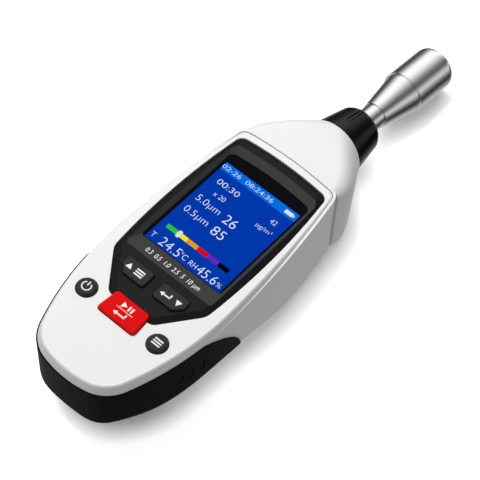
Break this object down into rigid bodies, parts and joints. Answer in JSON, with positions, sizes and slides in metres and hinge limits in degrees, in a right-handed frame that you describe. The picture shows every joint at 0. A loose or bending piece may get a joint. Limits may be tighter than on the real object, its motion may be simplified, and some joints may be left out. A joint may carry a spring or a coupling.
{
  "type": "airborne particle counter",
  "caption": "Hand-held airborne particle counter with a colour display, press keys, a soft tail bumper and a turned steel sampling probe.",
  "frame": {"origin": "on the plane of the flat back, under the middle of the whole instrument", "axes": "+X to the right, +Y towards the sampling probe, +Z out of the face"},
  "size_m": [0.0514, 0.1912, 0.0356],
  "materials": {
    "white_plastic": "satin moulded",
    "black_plastic": "satin moulded",
    "charcoal_plastic": "satin moulded",
    "black_rubber": "satin soft moulding",
    "window": "clear acrylic with a black mask",
    "panel": "lit colour display",
    "silicone": "moulded silicone",
    "key_grey": "satin",
    "key_red": "satin",
    "board": "glass-fibre board",
    "screw_steel": "zinc plated",
    "steel": "turned stainless",
    "tube": "translucent silicone tube",
    "brass": "turned",
    "cell": "wrapped cell"
  },
  "bodies": {
    "housing": {"front_cover": "white_plastic", "front_shell": "white_plastic", "rear_shell": "white_plastic", "bumper": "black_rubber", "bezel": "charcoal_plastic", "display_window": "window", "display_panel": "panel", "display_frame": "black_plastic", "keypad_mat": "silicone", "main_board": "board", "board_screws": "screw_steel", "housing_screws": "screw_steel", "nose_collar": "black_plastic", "sampling_probe": "steel", "probe_seal": "silicone", "inlet_tube": "tube", "sensor_chamber": "black_plastic", "laser_module": "brass", "detector_board": "board", "fan_housing": "black_plastic", "battery": "cell", "battery_cover": "white_plastic", "cover_screw": "screw_steel", "tripod_bush": "brass", "usb_socket": "screw_steel", "humidity_sensor": "black_plastic"},
    "up_key": {"up_key": "key_grey"},
    "down_key": {"down_key": "key_grey"},
    "start_key": {"start_key": "key_red"},
    "power_key": {"power_key": "key_grey"},
    "memory_key": {"memory_key": "key_grey"},
    "fan_rotor": {"fan_rotor": "black_plastic"}
  },
  "joints": [
    {"name": "up_key_press", "type": "slide", "parent": "housing", "child": "up_key", "axis": [0, 0, -1], "range_m": [0, 0.0008], "stiffness_N_per_m": 600, "springref_m": -0.0004},
    {"name": "down_key_press", "type": "slide", "parent": "housing", "child": "down_key", "axis": [0, 0, -1], "range_m": [0, 0.0008], "stiffness_N_per_m": 600, "springref_m": -0.0004},
    {"name": "start_key_press", "type": "slide", "parent": "housing", "child": "start_key", "axis": [0, 0, -1], "range_m": [0, 0.0008], "stiffness_N_per_m": 600, "springref_m": -0.0004},
    {"name": "power_key_press", "type": "slide", "parent": "housing", "child": "power_key", "axis": [0, 0, -1], "range_m": [0, 0.0008], "stiffness_N_per_m": 600, "springref_m": -0.0004},
    {"name": "memory_key_press", "type": "slide", "parent": "housing", "child": "memory_key", "axis": [0, 0, -1], "range_m": [0, 0.0008], "stiffness_N_per_m": 600, "springref_m": -0.0004},
    {"name": "fan_spin", "type": "hinge", "parent": "housing", "child": "fan_rotor", "pos_m": [0, -0.03314, 0.0219], "axis": [0, 0, 1], "continuous": true}
  ]
}
